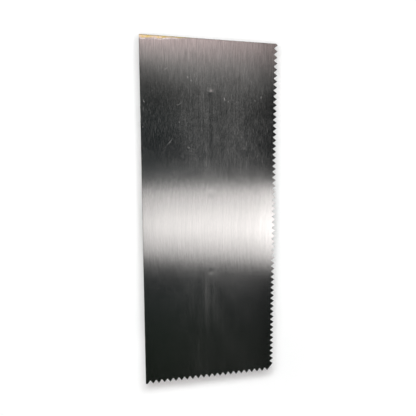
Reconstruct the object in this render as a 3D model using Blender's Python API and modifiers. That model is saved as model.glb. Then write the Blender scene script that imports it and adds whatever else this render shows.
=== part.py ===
"""Notched trowel, lying on its back: working face up, the grip's flat crown on the ground.

+Z points out of the working face, +Y runs along the blade towards its plain end, and +X points
towards the long toothed edge. The origin is below the middle of the blade, on the ground.
All sizes are in metres.
"""

import math

import bmesh
import bpy

# Clearance between pieces that touch on the real tool.
GAP = 0.0003

# Blade: a flat sheet with V notches along one long edge and one short edge.
BLADE_LENGTH = 0.281
BLADE_WIDTH = 0.112
BLADE_THICKNESS = 0.0008
NOTCH_PITCH = 0.0048
NOTCH_DEPTH = 0.0027
NOTCH_ROOT_FLAT = 0.0004
TOOTH_TIP_FLAT = 0.0004
EDGE_TO_FIRST_NOTCH = 0.00375
# Least distance from the last notch's centre to the tooth tips round the toothed corner.
CORNER_ROOM = 0.0072
TOE_CORNER_RADIUS = 0.0015
HEEL_CORNER_RADIUS = 0.0010
CORNER_STEPS = 6

# Cast mounting: a rail along the blade's back, and a neck that rises from it and turns back.
RAIL_WIDTH = 0.012
RAIL_HEIGHT = 0.0062
RAIL_END_HEIGHT = 0.0036
RAIL_END_MARGIN = 0.035
RAIL_SHOULDER = 0.34
RAIL_STATIONS = 36
RAIL_ARCH_STEPS = 12
NECK_HALF_WIDTH = 0.0055
NECK_HALF_DEPTH = 0.0068
NECK_FLARE = 0.0060
NECK_FLARE_FADE = 0.0075
NECK_BEND_RADIUS = 0.024
NECK_STRAIGHT = 0.005
NECK_SECTION_POINTS = 24
NECK_BEND_STEPS = 14
NECK_STEM_STEPS = 10
BOSS_RADIUS = 0.0083
BOSS_LENGTH = 0.0045
BOSS_EDGE = 0.0009

# Eight rivets in one row, welded to the blade's back and headed on the rail. The shares are of
# the distance from the rail's middle to its outermost rivet.
RIVET_SHARES = (0.18, 0.47, 0.68, 1.0)
RIVET_END_MARGIN = 0.0055
RIVET_RADIUS = 0.0016
RIVET_HEAD_RADIUS = 0.0031
RIVET_HEAD_HEIGHT = 0.0017
RIVET_SEAT_SINK = 0.0009
RIVET_STEPS = 20
RIVET_DOME_STEPS = 4

# Grip: turned wood with a flat planed along its crown.
GRIP_LENGTH = 0.122
GRIP_RADIUS = 0.0152
GRIP_BUTT_RADIUS = 0.0132
GRIP_WAIST_STEP = 0.0004
GRIP_BELLY_SHARE = 0.42
GRIP_BUTT_EDGE = 0.0045
CROWN_BELOW_FERRULE = 0.0008
FINGER_ROOM = 0.031
GRIP_STEPS = 40
GRIP_PROFILE_STEPS = 9
GRIP_EDGE_STEPS = 4

# Ferrule: a cup over the grip's tenon, with the neck's boss against its closed end.
FERRULE_RADIUS = 0.0118
FERRULE_WALL = 0.0010
FERRULE_END_WALL = 0.0014
FERRULE_LENGTH = 0.0150
FERRULE_EDGE = 0.0009

# Tang rod and the pieces that clamp the grip on it.
ROD_RADIUS = 0.0030
ROD_ENGAGEMENT = 0.0140
ROD_STEPS = 24
WASHER_RADIUS = 0.0080
WASHER_THICKNESS = 0.0012
SPRING_WASHER_RADIUS = 0.0055
SPRING_WASHER_THICKNESS = 0.0014
NUT_ACROSS_FLATS = 0.0100
NUT_BODY_LENGTH = 0.0055
NUT_DOME_RADIUS = 0.0044
NUT_THREAD_DEPTH = 0.0065

# What follows from the sizes above.
GRIP_AXIS_Z = FERRULE_RADIUS + CROWN_BELOW_FERRULE
RAIL_CROWN_Z = GRIP_AXIS_Z + GRIP_RADIUS + FINGER_ROOM
RAIL_BASE_Z = RAIL_CROWN_Z + RAIL_HEIGHT
BLADE_BACK_Z = RAIL_BASE_Z + GAP
RAIL_HALF = BLADE_LENGTH / 2 - RAIL_END_MARGIN
RIVET_REACH = RAIL_HALF - RIVET_END_MARGIN
NECK_Y = RIVET_REACH * (RIVET_SHARES[-1] + RIVET_SHARES[-2]) / 2
BOSS_FACE_Y = NECK_Y - NECK_BEND_RADIUS - NECK_STRAIGHT - BOSS_LENGTH
FERRULE_FRONT_Y = BOSS_FACE_Y - GAP
GRIP_FRONT_Y = FERRULE_FRONT_Y - FERRULE_END_WALL - GAP
GRIP_BUTT_Y = GRIP_FRONT_Y - GRIP_LENGTH
WASHER_Y = GRIP_BUTT_Y - GAP - WASHER_THICKNESS
SPRING_WASHER_Y = WASHER_Y - GAP - SPRING_WASHER_THICKNESS
NUT_FACE_Y = SPRING_WASHER_Y - GAP
ROD_START_Y = NUT_FACE_Y - NUT_THREAD_DEPTH + GAP
ROD_END_Y = BOSS_FACE_Y + ROD_ENGAGEMENT
ROD_HOLE_RADIUS = ROD_RADIUS + GAP
GRIP_WAIST_RADIUS = FERRULE_RADIUS + GRIP_WAIST_STEP
TENON_RADIUS = FERRULE_RADIUS - FERRULE_WALL - GAP
TENON_LENGTH = FERRULE_LENGTH - FERRULE_END_WALL

# A turned piece's own Z axis is laid along +Y by this turn about X.
ALONG_Y = (-math.pi / 2, 0, 0)
# Screw joins the first and last copies of its profile within this distance.
MERGE = 0.00002
# How far a cutter runs past the surface that it opens.
CUT_PAST = 0.004


def clear_scene():
    for old in list(bpy.data.objects):
        bpy.data.objects.remove(old)


def new_collection(name):
    made = bpy.data.collections.new(name)
    bpy.context.scene.collection.children.link(made)
    return made


def new_material(name, colour, metallic, roughness):
    made = bpy.data.materials.new(name)
    made.use_nodes = True
    shader = made.node_tree.nodes["Principled BSDF"]
    shader.inputs["Base Color"].default_value = (*colour, 1)
    shader.inputs["Metallic"].default_value = metallic
    shader.inputs["Roughness"].default_value = roughness
    return made


def add_object(name, data, collection, material=None):
    made = bpy.data.objects.new(name, data)
    collection.objects.link(made)
    if material:
        data.materials.append(material)
    return made


def make_helper(tool):
    tool.hide_render = True
    tool.display_type = "WIRE"


def shade_round(mesh):
    mesh.shade_smooth()
    mesh.set_sharp_from_angle(angle=math.radians(35))


def flat_outline(name, points, thickness, collection, material):
    """A sheet whose outline is given by points in its own XY plane."""
    curve = bpy.data.curves.new(name, "CURVE")
    curve.dimensions = "2D"
    curve.fill_mode = "BOTH"
    curve.extrude = thickness / 2
    spline = curve.splines.new("POLY")
    spline.points.add(len(points) - 1)
    for point, (x, y) in zip(spline.points, points):
        point.co = (x, y, 0, 1)
    spline.use_cyclic_u = True
    return add_object(name, curve, collection, material)


def turned(name, profile, steps, collection, material=None, closed=False):
    """A turned piece about its own Z. The profile's (radius, height) points run down its outside.

    An open profile starts and ends on the axis, and a closed one goes round a ring's section.
    """
    mesh = bpy.data.meshes.new(name)
    count = len(profile)
    edges = [(i, i + 1) for i in range(count - 1)]
    if closed:
        edges.append((count - 1, 0))
    mesh.from_pydata([(r, 0, z) for r, z in profile], edges, [])
    made = add_object(name, mesh, collection, material)
    screw = made.modifiers.new("turn", "SCREW")
    screw.steps = steps
    screw.render_steps = steps
    screw.use_merge_vertices = True
    screw.merge_threshold = MERGE
    screw.use_smooth_shade = True
    return made


def loft(name, rings, collection, material=None):
    """A closed body through rings of equally many points, with a flat cap at each end."""
    mesh = bpy.data.meshes.new(name)
    build = bmesh.new()
    loops = [[build.verts.new(point) for point in ring] for ring in rings]
    around = len(rings[0])
    for low, high in zip(loops, loops[1:]):
        for i in range(around):
            j = (i + 1) % around
            build.faces.new((low[i], low[j], high[j], high[i]))
    build.faces.new(reversed(loops[0]))
    build.faces.new(loops[-1])
    bmesh.ops.recalc_face_normals(build, faces=build.faces)
    build.to_mesh(mesh)
    build.free()
    shade_round(mesh)
    return add_object(name, mesh, collection, material)


def boolean(target, operation, tool):
    modifier = target.modifiers.new(operation.lower(), "BOOLEAN")
    modifier.operation = operation
    modifier.solver = "EXACT"
    if isinstance(tool, bpy.types.Collection):
        modifier.operand_type = "COLLECTION"
        modifier.collection = tool
    else:
        modifier.object = tool


def corner_arc(centre, radius, start_deg, end_deg):
    """Points of a corner's arc, its first and last points included."""
    points = []
    for i in range(CORNER_STEPS + 1):
        angle = math.radians(start_deg + (end_deg - start_deg) * i / CORNER_STEPS)
        points.append((centre[0] + radius * math.cos(angle), centre[1] + radius * math.sin(angle)))
    return points


def notch_centres(edge_length):
    """Distances of the notch centres from the plain end of a toothed edge."""
    room = edge_length - EDGE_TO_FIRST_NOTCH - CORNER_ROOM
    count = math.floor(room / NOTCH_PITCH) + 1
    return [EDGE_TO_FIRST_NOTCH + NOTCH_PITCH * i for i in range(count)]


def notch_points():
    """One notch as (along, depth) points about its centre, from tooth tip to tooth tip."""
    mouth = (NOTCH_PITCH - TOOTH_TIP_FLAT) / 2
    root = NOTCH_ROOT_FLAT / 2
    return [(-mouth, 0), (-root, NOTCH_DEPTH), (root, NOTCH_DEPTH), (mouth, 0)]


def blade_outline():
    """The blade's outline, clockwise from the plain corner at -X, +Y."""
    half_width = BLADE_WIDTH / 2
    half_length = BLADE_LENGTH / 2
    points = [(-half_width, half_length)]
    toe = TOE_CORNER_RADIUS
    points += corner_arc((half_width - toe, half_length - toe), toe, 90, 0)
    for place in notch_centres(BLADE_LENGTH):
        for along, depth in notch_points():
            points.append((half_width - depth, half_length - place - along))
    for place in reversed(notch_centres(BLADE_WIDTH)):
        for along, depth in notch_points():
            points.append((-half_width + place - along, -half_length + depth))
    heel = HEEL_CORNER_RADIUS
    points += corner_arc((-half_width + heel, -half_length + heel), heel, 270, 180)
    return points


def make_blade(collection, material):
    blade = flat_outline("blade", blade_outline(), BLADE_THICKNESS, collection, material)
    blade.location.z = BLADE_BACK_Z + BLADE_THICKNESS / 2


def rail_height(y):
    """The rail's height at y: it swells smoothly from both ends to its middle."""
    share = min(1, abs(y) / RAIL_HALF)
    return RAIL_END_HEIGHT + (RAIL_HEIGHT - RAIL_END_HEIGHT) * math.cos(share * math.pi / 2)


def rail_ring(y):
    """The rail's section at y: a flat base, upright sides and an arched crown."""
    past_round = max(0, abs(y) - (RAIL_HALF - RAIL_WIDTH / 2))
    half = math.sqrt(max(0, (RAIL_WIDTH / 2) ** 2 - past_round**2))
    height = rail_height(y)
    side = height * RAIL_SHOULDER
    ring = [(-half, y, RAIL_BASE_Z)]
    for i in range(RAIL_ARCH_STEPS + 1):
        angle = math.pi * i / RAIL_ARCH_STEPS
        drop = side + (height - side) * math.sin(angle)
        ring.append((-half * math.cos(angle), y, RAIL_BASE_Z - drop))
    ring.append((half, y, RAIL_BASE_Z))
    return ring


def rail_stations():
    """Places along the rail, closer together in its round ends."""
    straight = RAIL_HALF - RAIL_WIDTH / 2
    ends = [straight + RAIL_WIDTH / 2 * math.sin(math.radians(angle)) for angle in (30, 55, 75)]
    middle = [straight * (2 * i / RAIL_STATIONS - 1) for i in range(RAIL_STATIONS + 1)]
    return [-y for y in reversed(ends)] + middle + ends


def neck_ring(y, z, along, half_width, half_depth):
    """A rounded section square to the neck's path. along is the path's angle below -Z, towards -Y."""
    ring = []
    for i in range(NECK_SECTION_POINTS):
        angle = 2 * math.pi * i / NECK_SECTION_POINTS
        across = half_width * math.cos(angle)
        outward = half_depth * math.sin(angle)
        ring.append((across, y + outward * math.cos(along), z - outward * math.sin(along)))
    return ring


def neck_rings():
    """Sections of the neck, from inside the rail to the boss."""
    bend_z = GRIP_AXIS_Z + NECK_BEND_RADIUS
    top_z = RAIL_BASE_Z - RAIL_HEIGHT * RAIL_SHOULDER
    rings = []
    for i in range(NECK_STEM_STEPS):
        z = top_z + (bend_z - top_z) * i / NECK_STEM_STEPS
        below_crown = max(0, RAIL_CROWN_Z - z)
        flare = NECK_FLARE * math.exp(-below_crown / NECK_FLARE_FADE)
        rings.append(neck_ring(NECK_Y, z, 0, NECK_HALF_WIDTH, NECK_HALF_DEPTH + flare))
    centre_y = NECK_Y - NECK_BEND_RADIUS
    for i in range(NECK_BEND_STEPS + 1):
        angle = math.pi / 2 * i / NECK_BEND_STEPS
        y = centre_y + NECK_BEND_RADIUS * math.cos(angle)
        z = bend_z - NECK_BEND_RADIUS * math.sin(angle)
        half_width = NECK_HALF_WIDTH + (NECK_HALF_DEPTH - NECK_HALF_WIDTH) * i / NECK_BEND_STEPS
        rings.append(neck_ring(y, z, angle, half_width, NECK_HALF_DEPTH))
    end_y = centre_y - NECK_STRAIGHT - BOSS_LENGTH / 2
    rings.append(neck_ring(end_y, GRIP_AXIS_Z, math.pi / 2, NECK_HALF_DEPTH, NECK_HALF_DEPTH))
    return rings


def rivet_places():
    outward = [RIVET_REACH * share for share in RIVET_SHARES]
    return [-y for y in reversed(outward)] + outward


def rivet_seat_depth(y):
    """How far the flat seat under a rivet's head lies from the rail's base."""
    return rail_height(y) - RIVET_SEAT_SINK


def make_rivet_cutter(name, y, collection):
    """A stepped cutter: the rivet's hole, and the flat seat round its head."""
    hole = RIVET_RADIUS + GAP
    seat = RIVET_HEAD_RADIUS + GAP
    depth = rivet_seat_depth(y)
    profile = [(0, CUT_PAST), (hole, CUT_PAST), (hole, -depth)]
    profile += [(seat, -depth), (seat, -depth - CUT_PAST), (0, -depth - CUT_PAST)]
    cutter = turned(name, profile, RIVET_STEPS, collection)
    cutter.location = (0, y, RAIL_BASE_Z)
    make_helper(cutter)


def make_mounting(collection, cutters, material):
    rail = loft("mounting", [rail_ring(y) for y in rail_stations()], collection, material)
    neck = loft("neck_form", neck_rings(), cutters)
    edge = BOSS_RADIUS - BOSS_EDGE
    profile = [(0, BOSS_LENGTH), (edge, BOSS_LENGTH), (BOSS_RADIUS, BOSS_LENGTH - BOSS_EDGE)]
    profile += [(BOSS_RADIUS, BOSS_EDGE), (edge, 0), (0, 0)]
    boss = turned("boss_form", profile, GRIP_STEPS, cutters)
    boss.location = (0, BOSS_FACE_Y, GRIP_AXIS_Z)
    boss.rotation_euler = ALONG_Y
    depth = ROD_ENGAGEMENT + GAP
    profile = [(0, depth), (ROD_HOLE_RADIUS, depth), (ROD_HOLE_RADIUS, -CUT_PAST), (0, -CUT_PAST)]
    socket = turned("rod_socket", profile, ROD_STEPS, cutters)
    socket.location = (0, BOSS_FACE_Y, GRIP_AXIS_Z)
    socket.rotation_euler = ALONG_Y
    for tool in (neck, boss, socket):
        make_helper(tool)
    rivet_cutters = bpy.data.collections.new("rivet_cutters")
    cutters.children.link(rivet_cutters)
    for number, y in enumerate(rivet_places(), start=1):
        make_rivet_cutter(f"rivet_cutter_{number}", y, rivet_cutters)
    boolean(rail, "UNION", neck)
    boolean(rail, "UNION", boss)
    boolean(rail, "DIFFERENCE", socket)
    boolean(rail, "DIFFERENCE", rivet_cutters)


def make_rivet(name, y, collection, material):
    seat = -rivet_seat_depth(y) - GAP
    profile = [(0, 0), (RIVET_RADIUS, 0), (RIVET_RADIUS, seat), (RIVET_HEAD_RADIUS, seat)]
    for i in range(1, RIVET_DOME_STEPS + 1):
        angle = math.pi / 2 * i / RIVET_DOME_STEPS
        drop = RIVET_HEAD_HEIGHT * math.sin(angle)
        profile.append((RIVET_HEAD_RADIUS * math.cos(angle), seat - drop))
    profile[-1] = (0, seat - RIVET_HEAD_HEIGHT)
    rivet = turned(name, profile, RIVET_STEPS, collection, material)
    rivet.location = (0, y, RAIL_BASE_Z)


def grip_radius(height):
    """The turned grip's radius at a height above its butt, up to the ferrule."""
    belly = GRIP_LENGTH * GRIP_BELLY_SHARE
    shoulder = GRIP_LENGTH - TENON_LENGTH
    if height < belly:
        low = GRIP_BUTT_RADIUS
        share = height / belly
    else:
        low = GRIP_WAIST_RADIUS
        share = (shoulder - height) / (shoulder - belly)
    return low + (GRIP_RADIUS - low) * math.sin(math.pi / 2 * share)


def grip_profile():
    shoulder = GRIP_LENGTH - TENON_LENGTH
    belly = GRIP_LENGTH * GRIP_BELLY_SHARE
    points = [(ROD_HOLE_RADIUS, GRIP_LENGTH), (TENON_RADIUS, GRIP_LENGTH), (TENON_RADIUS, shoulder)]
    for i in range(GRIP_PROFILE_STEPS + 1):
        height = shoulder + (belly - shoulder) * i / GRIP_PROFILE_STEPS
        points.append((grip_radius(height), height))
    for i in range(1, GRIP_PROFILE_STEPS + 1):
        height = belly + (GRIP_BUTT_EDGE - belly) * i / GRIP_PROFILE_STEPS
        points.append((grip_radius(height), height))
    edge_radius = grip_radius(GRIP_BUTT_EDGE)
    for i in range(1, GRIP_EDGE_STEPS + 1):
        angle = math.pi / 2 * i / GRIP_EDGE_STEPS
        inset = GRIP_BUTT_EDGE * (1 - math.cos(angle))
        points.append((edge_radius - inset, GRIP_BUTT_EDGE * (1 - math.sin(angle))))
    points.append((ROD_HOLE_RADIUS, 0))
    return points


def make_grip(collection, cutters, material):
    grip = turned("grip", grip_profile(), GRIP_STEPS, collection, material, closed=True)
    grip.location = (0, GRIP_BUTT_Y, GRIP_AXIS_Z)
    grip.rotation_euler = ALONG_Y
    box = bpy.data.meshes.new("crown_plane")
    build = bmesh.new()
    bmesh.ops.create_cube(build, size=1)
    bmesh.ops.scale(build, vec=(4 * GRIP_RADIUS, 1.2 * GRIP_LENGTH, GRIP_RADIUS), verts=build.verts)
    build.to_mesh(box)
    build.free()
    plane = add_object("crown_plane", box, cutters)
    plane.location = (0, GRIP_BUTT_Y + GRIP_LENGTH / 2, -GRIP_RADIUS / 2)
    make_helper(plane)
    boolean(grip, "DIFFERENCE", plane)


def make_ferrule(collection, material):
    inner = FERRULE_RADIUS - FERRULE_WALL
    floor = FERRULE_LENGTH - FERRULE_END_WALL
    profile = [(ROD_HOLE_RADIUS, FERRULE_LENGTH)]
    for i in range(GRIP_EDGE_STEPS + 1):
        angle = math.pi / 2 * i / GRIP_EDGE_STEPS
        inset = FERRULE_EDGE * (1 - math.sin(angle))
        drop = FERRULE_EDGE * (1 - math.cos(angle))
        profile.append((FERRULE_RADIUS - inset, FERRULE_LENGTH - drop))
    profile += [(FERRULE_RADIUS, 0), (inner, 0), (inner, floor), (ROD_HOLE_RADIUS, floor)]
    ferrule = turned("ferrule", profile, GRIP_STEPS, collection, material, closed=True)
    ferrule.location = (0, FERRULE_FRONT_Y - FERRULE_LENGTH, GRIP_AXIS_Z)
    ferrule.rotation_euler = ALONG_Y


def make_ring(name, outer, thickness, y, collection, material):
    inner = ROD_HOLE_RADIUS
    profile = [(inner, thickness), (outer, thickness), (outer, 0), (inner, 0)]
    ring = turned(name, profile, ROD_STEPS, collection, material, closed=True)
    ring.location = (0, y, GRIP_AXIS_Z)
    ring.rotation_euler = ALONG_Y


def make_tang_rod(collection, material):
    length = ROD_END_Y - ROD_START_Y
    profile = [(0, length), (ROD_RADIUS, length), (ROD_RADIUS, 0), (0, 0)]
    rod = turned("tang_rod", profile, ROD_STEPS, collection, material)
    rod.location = (0, ROD_START_Y, GRIP_AXIS_Z)
    rod.rotation_euler = ALONG_Y


def make_cap_nut(collection, cutters, material):
    """A six-sided body with a dome on its far end and a blind hole for the rod."""
    body = bpy.data.meshes.new("cap_nut")
    build = bmesh.new()
    corner_radius = NUT_ACROSS_FLATS / 2 / math.cos(math.pi / 6)
    bmesh.ops.create_cone(
        build,
        cap_ends=True,
        segments=6,
        radius1=corner_radius,
        radius2=corner_radius,
        depth=NUT_BODY_LENGTH,
    )
    build.to_mesh(body)
    build.free()
    nut = add_object("cap_nut", body, collection, material)
    nut.location = (0, NUT_FACE_Y - NUT_BODY_LENGTH / 2, GRIP_AXIS_Z)
    nut.rotation_euler = ALONG_Y
    top = NUT_BODY_LENGTH / 2
    profile = [(0, top), (NUT_DOME_RADIUS, top), (NUT_DOME_RADIUS, 0)]
    for i in range(1, GRIP_EDGE_STEPS + 1):
        angle = math.pi / 2 * i / GRIP_EDGE_STEPS
        profile.append((NUT_DOME_RADIUS * math.cos(angle), -NUT_DOME_RADIUS * math.sin(angle)))
    profile[-1] = (0, -NUT_DOME_RADIUS)
    dome = turned("nut_dome_form", profile, ROD_STEPS, cutters)
    dome.location = (0, NUT_FACE_Y - NUT_BODY_LENGTH, GRIP_AXIS_Z)
    dome.rotation_euler = ALONG_Y
    profile = [(0, CUT_PAST), (ROD_HOLE_RADIUS, CUT_PAST)]
    profile += [(ROD_HOLE_RADIUS, -NUT_THREAD_DEPTH), (0, -NUT_THREAD_DEPTH)]
    hole = turned("nut_hole", profile, ROD_STEPS, cutters)
    hole.location = (0, NUT_FACE_Y, GRIP_AXIS_Z)
    hole.rotation_euler = ALONG_Y
    for tool in (dome, hole):
        make_helper(tool)
    boolean(nut, "UNION", dome)
    boolean(nut, "DIFFERENCE", hole)


def main():
    clear_scene()
    parts = new_collection("notched_trowel")
    cutters = new_collection("cutters")
    blade_steel = new_material("blade_steel", (0.50, 0.50, 0.50), 1.0, 0.30)
    cast_alloy = new_material("cast_alloy", (0.62, 0.63, 0.64), 1.0, 0.45)
    rivet_steel = new_material("rivet_steel", (0.58, 0.58, 0.57), 1.0, 0.35)
    grip_wood = new_material("grip_wood", (0.55, 0.33, 0.16), 0.0, 0.45)
    plated_steel = new_material("plated_steel", (0.66, 0.66, 0.67), 1.0, 0.25)
    make_blade(parts, blade_steel)
    make_mounting(parts, cutters, cast_alloy)
    for number, y in enumerate(rivet_places(), start=1):
        make_rivet(f"rivet_{number}", y, parts, rivet_steel)
    make_grip(parts, cutters, grip_wood)
    make_ferrule(parts, plated_steel)
    make_tang_rod(parts, plated_steel)
    make_ring("end_washer", WASHER_RADIUS, WASHER_THICKNESS, WASHER_Y, parts, plated_steel)
    make_ring(
        "spring_washer",
        SPRING_WASHER_RADIUS,
        SPRING_WASHER_THICKNESS,
        SPRING_WASHER_Y,
        parts,
        plated_steel,
    )
    make_cap_nut(parts, cutters, plated_steel)


main()
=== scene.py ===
"""Looks of the notched trowel: fine meshes, procedural finishes, light and camera.

The trowel lies on its back on a pale floor, working face up, and the camera looks down on the
face as the photograph does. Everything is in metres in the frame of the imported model.
"""

import math
from functools import partialmethod
from math import cos, pi, radians, sin

import bmesh
import bpy
from mathutils import Matrix, Vector


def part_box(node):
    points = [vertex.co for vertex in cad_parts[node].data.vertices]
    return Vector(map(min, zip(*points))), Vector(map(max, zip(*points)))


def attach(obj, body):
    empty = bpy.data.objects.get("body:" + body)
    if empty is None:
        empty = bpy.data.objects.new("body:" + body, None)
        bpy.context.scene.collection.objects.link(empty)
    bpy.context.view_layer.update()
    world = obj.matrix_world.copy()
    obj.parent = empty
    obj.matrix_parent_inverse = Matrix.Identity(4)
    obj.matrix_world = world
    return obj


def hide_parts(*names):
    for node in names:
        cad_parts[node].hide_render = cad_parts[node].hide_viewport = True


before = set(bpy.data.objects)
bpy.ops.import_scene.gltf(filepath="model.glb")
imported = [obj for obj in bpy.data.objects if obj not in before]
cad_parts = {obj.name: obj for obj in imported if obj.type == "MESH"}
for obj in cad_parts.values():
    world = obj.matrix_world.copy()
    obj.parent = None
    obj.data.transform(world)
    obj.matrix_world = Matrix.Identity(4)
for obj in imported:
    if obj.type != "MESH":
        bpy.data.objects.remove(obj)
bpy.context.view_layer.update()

# -------- sizes taken from the frame
BLADE_LOW, BLADE_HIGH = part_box("blade")
MOUNT_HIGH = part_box("mounting")[1]
GRIP_LOW, GRIP_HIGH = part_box("grip")
FERRULE_LOW, FERRULE_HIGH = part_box("ferrule")
WASHER_LOW, WASHER_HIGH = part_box("end_washer")
SPRING_LOW, SPRING_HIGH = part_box("spring_washer")
NUT_LOW, NUT_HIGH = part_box("cap_nut")
ROD_LOW, ROD_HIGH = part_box("tang_rod")
RIVET_NAMES = sorted(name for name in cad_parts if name.startswith("rivet_"))

BLADE_HALF_WIDTH = BLADE_HIGH.x
BLADE_HALF_LENGTH = BLADE_HIGH.y
FACE_Z = BLADE_HIGH.z
AXIS_Z = (FERRULE_LOW.z + FERRULE_HIGH.z) / 2

# -------- blade
NOTCH_PITCH = 0.0048
NOTCH_DEPTH = 0.0027
NOTCH_ROOT_FLAT = 0.0004
TOOTH_TIP_FLAT = 0.0004
EDGE_TO_FIRST_NOTCH = 0.00375
CORNER_ROOM = 0.0072
TOE_CORNER_RADIUS = 0.0015
HEEL_CORNER_RADIUS = 0.0010
CORNER_STEPS = 10
EDGE_EASE = 0.00009
# The least cosine that a corner of the eased outline is moved by.
SHARPEST_CORNER = 0.35
# Corners nearer than this to each other are one corner.
SAME_PLACE = 0.0000001
PLAIN_EDGE_STEP = 0.004
GRID_MARGIN = 0.0012
GRID_STEP = 0.001
BLADE_SHARP_ANGLE = 30
# What the studs' welds and the rail behind draw in the face. A stud's mark is (x, y, height,
# radius), raised or sunk, and the face lies low enough for the raised ones to stay in its plane.
STUD_MARKS = (
    (0, 0.0993, 0.00014, 0.0015),
    (0, 0.068, -0.00003, 0.0018),
    (0, 0.018, -0.00002, 0.003),
    (0, -0.018, -0.00001, 0.0022),
    (0, -0.0475, -0.000032, 0.002),
)
# The square of how many of its radii away a stud's mark ends.
MARK_REACH_SQUARE = 16
RELIEF_ROOM = 0.00014
RIB_HALF_LENGTH = 0.1045
RIB_DEPTH = 0.000012
RIB_HALF_WIDTH = 0.0042

# -------- cast mounting
GAP = 0.0003
RAIL_WIDTH = 0.012
RAIL_HEIGHT = 0.0062
RAIL_END_HEIGHT = 0.0036
RAIL_SHOULDER = 0.34
RAIL_STATION_STEP = 0.0012
RAIL_END_ANGLES = range(8, 85, 6)
NECK_HALF_WIDTH = 0.0055
NECK_HALF_DEPTH = 0.0068
NECK_FLARE = 0.0060
NECK_FLARE_FADE = 0.0075
# The share of the flare that the neck's sides take.
NECK_SIDE_FLARE = 0.18
NECK_WIDENING = 0.0008
NECK_END_SHARES = (0.35, 0.7, 1.0)
NECK_BEND_RADIUS = 0.024
BOSS_RADIUS = MOUNT_HIGH.x
BOSS_LENGTH = 0.0045
BOSS_EDGE = 0.0009
CAST_VOXEL = 0.0004
CAST_SMOOTHING = 8
CAST_SHARP_ANGLE = 40
CUTTER_STEPS = 64
ROD_RADIUS = (ROD_HIGH.x - ROD_LOW.x) / 2
ROD_HOLE_RADIUS = ROD_RADIUS + GAP
RAIL_BASE_Z = MOUNT_HIGH.z
RAIL_HALF = MOUNT_HIGH.y
BOSS_FACE_Y = FERRULE_HIGH.y + GAP

# -------- rivets
RIVET_RADIUS = 0.0016
RIVET_HEAD_HEIGHT = 0.0017
RIVET_SEAT_SINK = 0.0009
RIVET_EDGE = 0.00015
# Below 1 the dome is hammered flatter than a round one.
RIVET_DOME_POWER = 0.85
CUT_PAST = 0.004

# -------- grip and its clamp
GRIP_RADIUS = GRIP_HIGH.x
GRIP_BUTT_RADIUS = 0.0132
# The grip stands this far over the ferrule.
GRIP_STEP = 0.0004
GRIP_WAIST_RADIUS = FERRULE_HIGH.x + GRIP_STEP
GRIP_BELLY_SHARE = 0.42
GRIP_BUTT_EDGE = 0.0045
GRIP_EASE = 0.0004
CROWN_EASE = 0.0006
FERRULE_WALL = 0.0010
FERRULE_END_WALL = 0.0014
# Radii of the ferrule's shoulder, and of its rolled mouth outside and inside.
FERRULE_ROUNDS = (0.0013, 0.00045, 0.0003)
# How far above the mouth the two grooves lie.
FERRULE_GROOVES = (0.0068, 0.0045)
# Where the wall steps in over the mouth: how far inwards, and how far above the mouth.
FERRULE_BEAD = ((0.0, 0.0014), (0.00012, 0.0011))
GROOVE_DEPTH = 0.00032
GROOVE_WIDTH = 0.0014
WASHER_ROUND = 0.0003
WASHER_EASE = 0.0001
SPRING_SPREAD = 0.00035
SPRING_EASE = 0.00015
# The spring washer's wire starts at this angle and turns this far, in degrees.
SPRING_START = 63
SPRING_TURN = 346
NUT_DOME_RADIUS = 0.0044
NUT_CHAMFER_INSET = 0.0001
NUT_HOLE_DEPTH = 0.0065
NUT_MOUTH = 0.0004
NUT_COLLAR = 0.0002
NUT_SHARP_ANGLE = 25

# -------- finishes
STEEL_COLOUR = (0.57, 0.56, 0.55)
STEEL_DARK = (0.53, 0.525, 0.515)
STRAW = (0.72, 0.58, 0.20)
STRAW_PALE = (0.86, 0.70, 0.50)
STRAW_DARK = (0.20, 0.19, 0.07)
SCUFF = (0.86, 0.82, 0.80)
# Share of the surface that scatters light: a dusty haze where hands wipe the face, and marks.
HAZE_SHARE = 0.052
HAZE_MIDDLE_X = 0.007
HAZE_EVERYWHERE = 0.11
# Where parts of the haze start and end their change, in metres: aside from its middle, then by y,
# and the strands' growth by x.
HAZE_SIDES = (0.012, 0.052)
HAZE_RISE = (-0.105, -0.005)
DUST_RISE = (-0.110, 0.020)
SPECK_RISE = (-0.100, -0.040)
DULL_FALL = (-0.090, -0.045)
STRAND_RISE = (-0.095, -0.045)
STRAND_ASIDE = (0.0, 0.045)

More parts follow.
